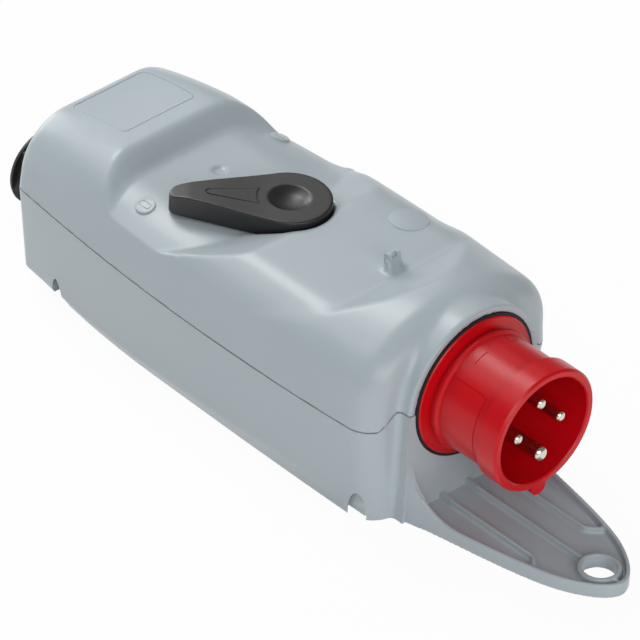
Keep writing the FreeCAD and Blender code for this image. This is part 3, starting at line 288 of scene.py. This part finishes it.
def spot_of(vertex):
    """A vertex's place about the plug's axis, in millimetres."""
    return vertex.co / MM - AXIS


def ramp(value, start, end):
    """How far a value has come from start to end, held between 0 and 1."""
    return min(1.0, max(0.0, (value - start) / (end - start)))


def block(name, low, high):
    """A box between two corners about the plug's axis, in millimetres."""
    size = Vector(high) - Vector(low)
    middle = (Vector(high) + Vector(low)) / 2
    bpy.ops.mesh.primitive_cube_add(size=1, location=place(*middle))
    box = bpy.context.object
    box.name = name
    box.scale = size * MM
    bpy.ops.object.transform_apply(location=True, rotation=True, scale=True)
    return box


def round_bar(name, middle, radius, length, turn=(0, 0, 0), sides=64):
    """A cylinder about a point of the row frame, with its radius and length in millimetres."""
    bpy.ops.mesh.primitive_cylinder_add(vertices=sides, radius=radius * MM, depth=length * MM,
                                        location=middle, rotation=turn)
    bar = bpy.context.object
    bar.name = name
    bpy.ops.object.transform_apply(location=True, rotation=True, scale=True)
    return bar


def join_with(piece, tool, operation="DIFFERENCE"):
    """Cuts a tool's shape from a piece, or keeps what they share, or adds it."""
    finish_modifier(piece, "BOOLEAN", operation=operation, object=tool, solver="EXACT")
    bpy.data.objects.remove(tool)


def bevel_edges(piece, pick, width, steps):
    """Rounds the edges that pick chooses by the numbers of their two ends."""
    only(piece)
    bpy.ops.object.mode_set(mode="EDIT")
    bpy.ops.mesh.select_all(action="DESELECT")
    bpy.ops.object.mode_set(mode="OBJECT")
    for edge in piece.data.edges:
        edge.select = pick(*edge.vertices)
    bpy.ops.object.mode_set(mode="EDIT")
    bpy.ops.mesh.select_mode(type="EDGE")
    bpy.ops.mesh.bevel(offset=width * MM, segments=steps, clamp_overlap=False)
    bpy.ops.object.mode_set(mode="OBJECT")


def dress(piece, material, body, slot, *nodes):
    """Gives a finished piece its material and its body, and hides the solids that it stands for. The slot
    is not used.
    """
    piece.data.materials.clear()
    piece.data.materials.append(material)
    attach(piece, body)
    if nodes:
        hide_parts(*nodes)


grey = Finish("housing_grey", specular_ior_level=0.5)
clouds = grey.noise(38)
grain = grey.noise(0.35, detail=3.0, roughness=0.6)
grey_paint = grey.feed_shader(
    base_color=grey.tint(clouds, srgb(174, 186, 192), srgb(181, 192, 198)),
    roughness=0.28 + grain * 0.07, normal=grey.bump(grain, depth=0.008, strength=0.5))

base = copy_of("lower_shell", "base_moulding")
pockets = [(x, side * y) for x, y in (FRONT_POCKET, REAR_POCKET) for side in (-1, 1)]


def on_knee(spot):
    """Whether a spot lies on the knee, where the side wall meets the foot, clear of the pockets."""
    return (abs(spot.z - KNEE) < TOUCH and abs(spot.y) > KNEE_HALF and KNEE_REAR < spot.x < KNEE_FRONT
            and all(math.dist((spot.x, spot.y), pocket) > POCKET_ROOM for pocket in pockets))


def knee_shift(x):
    """How far the knee moves out and up: more towards the front, and not at its ends."""
    share = ramp(x, -215, -145) * ramp(x, -24, -38)
    forward = x - KNEE_MIDDLE
    return share * (KNEE_OUT + KNEE_OUT_SLOPE * forward), share * (KNEE_LIFT + KNEE_LIFT_SLOPE * forward)


def on_land_corner(*ends):
    """Whether an edge stands upright at a corner of the plug's land."""
    first, second = (spot_of(base.data.vertices[end]) for end in ends)
    at_corner = all(abs(spot.x) < TOUCH and abs(abs(spot.y) - LAND_HALF) < TOUCH and spot.z < SPLIT + 0.2
                    for spot in (first, second))
    return at_corner and abs(first.z - second.z) > 5


def tongue_room(start):
    """The room that the tongue takes up, from start onwards."""
    return block("tongue_room", (start, -80, -70), (120, 80, 20))


knee = {vertex.index for vertex in base.data.vertices if on_knee(spot_of(vertex))}
for number in knee:
    vertex = base.data.vertices[number]
    spot = spot_of(vertex)
    out, lift = knee_shift(spot.x)
    vertex.co.y += math.copysign(out, spot.y) * MM
    vertex.co.z += lift * MM
bevel_edges(base, lambda first, second: first in knee and second in knee, width=1.8, steps=4)
bevel_edges(base, on_land_corner, width=1.4, steps=4)
shade(base, 40)
join_with(base, tongue_room(TONGUE_START))
for side in (-1, 1):
    inside, outside = sorted((side * LIP_INSIDE, side * LIP_OUTSIDE))
    middle = place(FRONT_POCKET[0], side * FRONT_POCKET[1], LIP_MIDDLE)
    lip = round_bar("pocket_lip", middle, LIP_RADIUS, LIP_LONG, sides=48)
    join_with(lip, block("lip_band", (-30, inside, -60), (0, outside, -40)), "INTERSECT")
    join_with(lip, block("lip_edge", (-30, -60, -60), (0, 60, LIP_FOOT)))
    join_with(base, lip, "UNION")
shade(base, 40)
dress(base, grey_paint, "housing", "grey_housing", "lower_shell")

# Hanging tongue
# The base carries on as a flat tongue with a rim, three ribs and the boss of
# a hanging eye. All its edges are softly rounded, as they leave the mould.


def remesh(piece, pitch):
    """Makes a piece's mesh even and dense, its faces pitch millimetres wide."""
    finish_modifier(piece, "REMESH", mode="VOXEL", voxel_size=pitch * MM, adaptivity=0.0)


def soften(piece, pick, passes, numbers=None):
    """Smooths a piece by the share that pick gives for a place, all over or at the numbered vertices."""
    group = piece.vertex_groups.new(name="rounds")
    if numbers is None:
        numbers = range(len(piece.data.vertices))
    for number in numbers:
        share = pick(spot_of(piece.data.vertices[number]))
        if share > 0:
            group.add([number], share, "REPLACE")
    finish_modifier(piece, "SMOOTH", factor=0.5, iterations=passes, vertex_group=group.name)
    piece.vertex_groups.clear()


def tongue_round(spot):
    """The share of rounding on the tongue, which starts just past the land."""
    return ramp(spot.x, TONGUE_START + 0.5, TONGUE_START + 4.5)


tongue = copy_of("lower_shell", "hanging_tongue")
join_with(tongue, tongue_room(TONGUE_START - 3), "INTERSECT")
remesh(tongue, 0.5)
soften(tongue, tongue_round, passes=7)
join_with(tongue, tongue_room(TONGUE_START), "INTERSECT")
shade(tongue, 50)
dress(tongue, grey_paint, "housing", "grey_housing", "lower_shell")

# Housing cover
# The upper shell is moulded in the same nylon, with steps for the label, the
# switch and the catch, and screwed to the base. Its edges flow into each other,
# so a fine mesh of the solid is smoothed on its outside.

SEAM = 0.45
STEP_HALF = 38.0
STEP_BACK = -10.4
STEP_BELOW = 5.0
STEP_SLOPE = 1.3
SEAT = -6.0
LAND_BACK = -10.0
LAND_REACH = 35.0
DIMPLE = (-155.8, 0)
DIMPLE_ROOM = 5.5
CRESCENT_SHARE = 0.35
TERRACE_FOOT = 16.0
FAR_SHOULDER = ((-246, 0), (-234, 1.1), (-192, 1.5), (-178, 2.4), (-168, 2.6), (-132, 2.2), (-116, 1.1),
                (-72, 0.9), (-56, 0))
LABEL_REAR, LABEL_FRONT, LABEL_HALF = -225.6, -193.1, 20.7


def faces_of(piece):
    """A piece's faces, for finding what a ray meets."""
    spots = [vertex.co for vertex in piece.data.vertices]
    return BVHTree.FromPolygons(spots, [face.vertices for face in piece.data.polygons])


def skin_of(piece):
    """The numbers of the vertices that see the sky past the shell, from above or from a side."""
    faces = faces_of(piece)
    ways = [Vector(way).normalized() for way in (
        (0, 0, 1), (0, -1, 0.3), (0, 1, 0.3), (-1, 0, 0.5), (1, 0, 0.5))]
    skin = set()
    for vertex in piece.data.vertices:
        start = vertex.co + vertex.normal * TOUCH * MM
        if any(way.dot(vertex.normal) > -0.1 and faces.ray_cast(start, way)[0] is None for way in ways):
            skin.add(vertex.index)
    return skin


def ease(value, start, end):
    """How far a value has come from start to end, with a smooth start and end."""
    share = ramp(value, start, end)
    return share * share * (3 - 2 * share)


def along_table(table, x):
    """The value at x between the nearest two rows of a table."""
    for (x0, value0), (x1, value1) in zip(table, table[1:]):
        if x0 <= x <= x1:
            return value0 + (value1 - value0) * (x - x0) / (x1 - x0)
    return 0.0


def cover_round(spot):
    """The whole skin is soft, but for its foot, the dimple and the plug's seat."""
    if spot.x > SEAT or math.dist((spot.x, spot.y), DIMPLE) < DIMPLE_ROOM:
        return 0.0
    near_crescents = spot.y < -22 and -170 < spot.x < -93 and 2 < spot.z < 30
    return ramp(spot.z, -4, 0) * (CRESCENT_SHARE if near_crescents else 1.0)


def crest_round(spot):
    """The terrace's near edge and its corner at the ramp are broad and soft."""
    if spot.z < TERRACE_FOOT:
        return 0.0
    along = ease(spot.x, -100, -88) * ease(spot.x, -44, -58)
    return along * ease(spot.y, -24, -32) * ease(spot.y, -53, -47) * ease(spot.z, TERRACE_FOOT, 22)


def land_round(spot):
    """The plug's land: its outer corner is soft, its seat stays crisp."""
    reach = math.hypot(spot.y, max(spot.z, 0.0))
    return 1.0 if spot.x > LAND_BACK and reach > LAND_REACH and spot.z > -3 else 0.0


cover = copy_of("upper_shell", "cover_moulding")
remesh(cover, 0.9)
for vertex in cover.data.vertices:
    spot = spot_of(vertex)
    fall = ease(spot.y, 18, 42) * ease(spot.z, -2, 12) * along_table(FAR_SHOULDER, spot.x)
    vertex.co.y -= fall * MM
    vertex.co.z -= fall * MM
lining = cover.vertex_groups.new(name="lining")
lining.add(sorted(set(range(len(cover.data.vertices))) - skin_of(cover)), 1.0, "REPLACE")
finish_modifier(cover, "DECIMATE", ratio=0.72, vertex_group=lining.name)
cover.vertex_groups.clear()
skin = skin_of(cover)
for pick, passes in ((cover_round, 24), (crest_round, 110), (land_round, 5)):
    soften(cover, pick, passes, skin)

seam_tool = block("seam_tool", (-400, -200, -200), (200, 200, SPLIT + SEAM))
step = block("seam_step", (STEP_BACK, -STEP_HALF, SPLIT - STEP_BELOW), (10, STEP_HALF, SEAM))
for vertex in step.data.vertices:
    spot = spot_of(vertex)
    if spot.z < SPLIT:
        vertex.co.y += math.copysign((STEP_BELOW - SPLIT) * STEP_SLOPE * MM, spot.y)
join_with(seam_tool, step, "UNION")
join_with(cover, seam_tool)
shade(cover, 50)
cover_faces = faces_of(cover)


def landing(x, y):
    """Where a drop from above at x, y meets the cover, and the surface's normal there."""
    return cover_faces.ray_cast(place(x, y, 90), Vector((0, 0, -1)))[:2]


def wire_tool(name, spots, radius, closed):
    """A round wire through the spots, for engraving a line."""
    bpy.ops.curve.primitive_nurbs_path_add(radius=0.01)
    wire = bpy.context.object
    wire.name = name
    wire.location = (0, 0, 0)
    line = wire.data.splines[0]
    line.type = "POLY"
    line.points.add(len(spots) - len(line.points))
    for point, spot in zip(line.points, spots):
        point.co = (*spot, 1)
    line.use_cyclic_u = closed
    wire.data.bevel_depth = radius * MM
    wire.data.bevel_resolution = 1
    wire.data.use_fill_caps = True
    bpy.ops.object.convert(target="MESH")
    return bpy.context.object


def rounded_path(x0, x1, y0, y1, corner, pitch):
    """Points along a rectangle with round corners, no further apart than pitch."""
    corners = []
    for cx, cy, start in ((x1 - corner, y1 - corner, 0), (x0 + corner, y1 - corner, 90),
                          (x0 + corner, y0 + corner, 180), (x1 - corner, y0 + corner, 270)):
        for angle in (math.radians(start + i * 22.5) for i in range(5)):
            corners.append((cx + corner * math.cos(angle), cy + corner * math.sin(angle)))
    path = []
    for first, second in zip(corners, corners[1:] + corners[:1]):
        parts = max(1, math.ceil(math.dist(first, second) / pitch))
        path += [(first[0] + (second[0] - first[0]) * i / parts,
                  first[1] + (second[1] - first[1]) * i / parts) for i in range(parts)]
    return path


label_path = rounded_path(LABEL_REAR, LABEL_FRONT, -LABEL_HALF, LABEL_HALF, corner=2.5, pitch=1.5)
label_line = [landing(x, y)[0] for x, y in label_path]
join_with(cover, wire_tool("label_line", label_line, radius=0.28, closed=True))
dress(cover, grey_paint, "housing", "grey_housing", "upper_shell")

# Marks and catch on the cover
# Moulded on the cover are two raised discs where the handle points at off and
# on, a low pad towards the far side, and a catch for the hook of a socket's lid.

DISC_ROOT = 1.6
DISC_EDGE = 0.3
MARK_RADIUS = 4.4
MARK_HIGH = 0.9
MARK_GROOVE = 0.4
CATCH_BACK = -54.7
CATCH_FOOT = 28.0
CATCH_REACH = 7.5
CATCH_CREST = 2.7
CATCH_TOP = 37.0


def disc(name, spot, normal, radius, height):
    """A low disc with a rounded rim that stands on a spot of the cover."""
    middle = spot + normal * (height - DISC_ROOT) / 2 * MM
    pad = round_bar(name, middle, radius, height + DISC_ROOT, normal.to_track_quat("Z", "Y").to_euler())
    finish_modifier(pad, "BEVEL", width=min(DISC_EDGE, height * 0.6) * MM, segments=3, limit_method="ANGLE")
    return pad


for name, x, y, half_long, half_wide in (
        ("off_mark", -158.8, -39.6, 2.9, 1.4), ("on_mark", -163.2, 42.2, 2.6, 0.0)):
    spot, normal = landing(x, y)
    mark = disc(name, spot, normal, MARK_RADIUS, MARK_HIGH)
    side = normal.cross(Vector((1, 0, 0))).normalized()
    along = side.cross(normal).normalized()
    top = spot + normal * (MARK_HIGH + 0.02) * MM
    if half_wide:
        line = []
        for angle in (math.radians(7.5 + 15 * i) for i in range(24)):
            ahead = math.copysign(half_long - half_wide, math.cos(angle)) + half_wide * math.cos(angle)
            line.append(top + (along * ahead + side * half_wide * math.sin(angle)) * MM)
    else:
        line = [top - along * half_long * MM, top + along * half_long * MM]
    join_with(mark, wire_tool(name + "_line", line, MARK_GROOVE, closed=bool(half_wide)))
    shade(mark, 40)
    dress(mark, grey_paint, "housing", "grey_housing")

pad = disc("far_pad", *landing(-72.8, 30.5), radius=8.6, height=0.3)
shade(pad, 40)
dress(pad, grey_paint, "housing", "grey_housing")


def catch_wall(name, near, far, fullness, top):
    """A wall of the catch: upright behind, with a hollow front that runs out into the terrace."""
    wall = block(name, (CATCH_BACK, near, CATCH_FOOT), (CATCH_BACK + CATCH_REACH, far, top))
    bpy.ops.object.mode_set(mode="EDIT")
    bpy.ops.mesh.select_all(action="SELECT")
    bpy.ops.mesh.subdivide(number_cuts=7)
    bpy.ops.object.mode_set(mode="OBJECT")
    for vertex in wall.data.vertices:
        spot = spot_of(vertex)
        fall = (top - spot.z) / (top - CATCH_FOOT)
        depth = (CATCH_CREST + (CATCH_REACH - CATCH_CREST) * fall ** 2) * fullness
        vertex.co.x = place(CATCH_BACK + (spot.x - CATCH_BACK) / CATCH_REACH * depth, 0, 0).x
    return wall


catch = catch_wall("catch_lug", -1.6, 0.3, 1.0, CATCH_TOP)
join_with(catch, catch_wall("catch_web", 0.1, 3.2, 0.6, CATCH_TOP - 0.1), "UNION")
join_with(catch, catch_wall("catch_rib", 3.0, 4.8, 1.05, CATCH_TOP), "UNION")
finish_modifier(catch, "BEVEL", width=0.25 * MM, segments=2, limit_method="ANGLE",
                angle_limit=math.radians(50))
shade(catch, 40)
dress(catch, grey_paint, "housing", "grey_housing")

# Plug
# A glossy red shroud with a thick rim and a key below, on a flange that
# presses a black gasket. Four nickel-plated pins stand in a red carrier.

SLEEVE = 26.7
SLEEVE_GROOVE = 0.35

red = Finish("shroud_red", specular_ior_level=0.3)
swirl = red.noise(20)
pores = red.noise(0.4)
red_paint = red.feed_shader(
    base_color=red.tint(swirl, srgb(198, 6, 19), srgb(209, 9, 23)),
    roughness=0.27 + pores * 0.08, normal=red.bump(pores, depth=0.008, strength=0.5))
rubber = Finish("black_rubber", specular_ior_level=0.3)
dust = rubber.noise(1.2, detail=3.0)
rubber_paint = rubber.feed_shader(
    base_color=rubber.tint(dust, srgb(28, 29, 31), srgb(42, 43, 45)),
    roughness=0.6 + dust * 0.15, normal=rubber.bump(dust, depth=0.02, strength=0.5))
nickel = Finish("plated_nickel", metallic=1.0)
marks = nickel.noise(0.8, detail=3.0)
nickel_paint = nickel.feed_shader(
    base_color=nickel.tint(marks, srgb(214, 205, 192), srgb(228, 221, 210)),
    roughness=0.14 + marks * 0.12, normal=nickel.bump(marks, depth=0.01, strength=0.4))


def on_sleeve(x, angle):
    """A place on the sleeve: x along it, the angle up from the far side, in degrees."""
    return place(x, SLEEVE * math.cos(math.radians(angle)), SLEEVE * math.sin(math.radians(angle)))


gasket = copy_of("plug_gasket", "front_gasket")
dress(gasket, rubber_paint, "housing", "black_rubber", "plug_gasket")

shroud = copy_of("plug_shroud", "red_shroud")
dash = [on_sleeve(11.6, 102.5 + i * 2.75) for i in range(7)]
arrow = [on_sleeve(x, angle) for x, angle in (
    (6.1, 70), (9.2, 73.2), (12.3, 76.5), (11.9, 71), (11.4, 65.5), (11.1, 60.5), (8.6, 65.2))]
panel = [on_sleeve(x, angle) for x, angle in rounded_path(7.0, 26.5, 138, 232, corner=3.0, pitch=2.5)]
for name, line, closed in (
        ("dash_line", dash, False), ("arrow_line", arrow, True), ("panel_line", panel, True)):
    join_with(shroud, wire_tool(name, line, SLEEVE_GROOVE, closed))
shade(shroud, 32)
dress(shroud, red_paint, "housing", "red_plug", "plug_shroud")

carrier = copy_of("pin_carrier", "red_carrier")
dress(carrier, red_paint, "housing", "red_plug", "pin_carrier")
for node in ("phase_pin_1", "phase_pin_2", "phase_pin_3", "earth_pin"):
    pin = copy_of(node, "plated_" + node, sharp=50)
    dress(pin, nickel_paint, "housing", "plated_contact", node)

# Switch handle
# A teardrop lever of black nylon, with a thumb bowl over its hub and an arrow
# engraved towards its tip. Its top rolls off at the tip, and its edges are soft.

HUB = Vector((-113.2, 0, 0))
POINTING = Vector((-math.sqrt(0.5), -math.sqrt(0.5), 0))
BESIDE = Vector((math.sqrt(0.5), -math.sqrt(0.5), 0))
HANDLE_TOP = 32.7
BOWL_ROOM = 12.0
RIM_FOOT, RIM_CREST = HANDLE_TOP - 3.2, HANDLE_TOP - 1.25
RIM_LIFT = 1.22
HUB_PRESS = 0.9
ROLL_START = 41.0
ROLL_RADIUS = 25.0
ARROW_ARC = 13.9

black = Finish("handle_black", specular_ior_level=0.75)
fine = black.noise(0.3, detail=3.0)
broad = black.noise(14)
black_paint = black.feed_shader(
    base_color=black.tint(broad, srgb(17, 17, 17), srgb(24, 23, 22)),
    roughness=0.36 + fine * 0.10, normal=black.bump(fine, depth=0.010, strength=0.6))


def roll_off(reach):
    """How far the top is pressed down: a little over the hub, and more where it rolls off at the tip."""
    return HUB_PRESS * ease(reach, 38, 8) + max(0.0, reach - ROLL_START) ** 2 / (2 * ROLL_RADIUS)


def handle_round(spot):
    """The share of rounding on the lever, whose foot stays crisp."""
    return ramp(spot.z, 20, 23)


def on_handle(along, beside):
    """A place on the lever's top: along from the hub to the tip, and beside that line."""
    return place(*(HUB + POINTING * along + BESIDE * beside + Vector((0, 0, HANDLE_TOP - roll_off(along)))))


handle = copy_of("switch_handle", "switch_lever")
rim = copy_of("switch_handle", "lever_rim")
join_with(rim, block("rim_room", (-175, -60, RIM_FOOT), (-80, 30, RIM_CREST)), "INTERSECT")
for vertex in rim.data.vertices:
    vertex.co.z += RIM_LIFT * MM
join_with(rim, round_bar("bowl_room", place(*HUB + Vector((0, 0, HANDLE_TOP))), BOWL_ROOM, 20))
join_with(handle, rim, "UNION")
remesh(handle, 0.42)
for vertex in handle.data.vertices:
    spot = spot_of(vertex) - HUB
    vertex.co.z -= roll_off(spot.dot(POINTING)) * ramp(spot.z, HANDLE_TOP - 6, HANDLE_TOP - 2) * MM
soften(handle, handle_round, passes=4)

arrow_arc = [on_handle(ARROW_ARC * math.cos(math.radians(angle)), ARROW_ARC * math.sin(math.radians(angle)))
             for angle in (-23, -15, -7.5, 0, 7.5, 15, 23)]
arrow_tip = [on_handle(along, beside) for along, beside in (
    (33.6, 1.9), (35.0, 0.9), (35.3, 0), (35.0, -0.9), (33.6, -1.9))]
join_with(handle, wire_tool("handle_arrow", arrow_arc + arrow_tip, radius=0.4, closed=True))
shade(handle, 40)
dress(handle, black_paint, "switch_actuator", "black_handle", "switch_handle")

# Cable gland
# A black nylon nut over a body that is screwed into the rear wall. Turned home,
# the nut squeezes a rubber seal round the cord.

gland = Finish("gland_black", specular_ior_level=0.4)
specks = gland.noise(0.5, detail=3.0)
gland_paint = gland.feed_shader(
    base_color=gland.tint(specks, srgb(38, 38, 37), srgb(48, 48, 46)),
    roughness=0.40 + specks * 0.14, normal=gland.bump(specks, depth=0.02, strength=0.6))
for node in ("gland_body", "gland_nut"):
    piece = copy_of(node, "black_" + node)
    dress(piece, gland_paint, "housing", "black_gland", node)

# Parts inside
# What the shells hide keeps its solid shape: the switch block with its plated
# bridges and contacts, the terminals, the seals, the cord's clamp and the screws.

for material, nodes in (
        (gland_paint, ("gland_locknut", "cord_clamp")),
        (rubber_paint, ("gland_seal", "shaft_seal")),
        (black_paint, ("switch_base",)),
        (grey_paint, ("shell_seal", "switch_cover", "switch_rotor")),
        (nickel_paint, ("shell_screws", "pin_terminal_screws", "terminal_screws", "switch_screws",
                        "clamp_screws", "handle_screw", "switch_shaft", "contact_bridges",
                        "fixed_contacts"))):
    for node in nodes:
        frame["nodes"][node].data.materials.clear()
        frame["nodes"][node].data.materials.append(material)
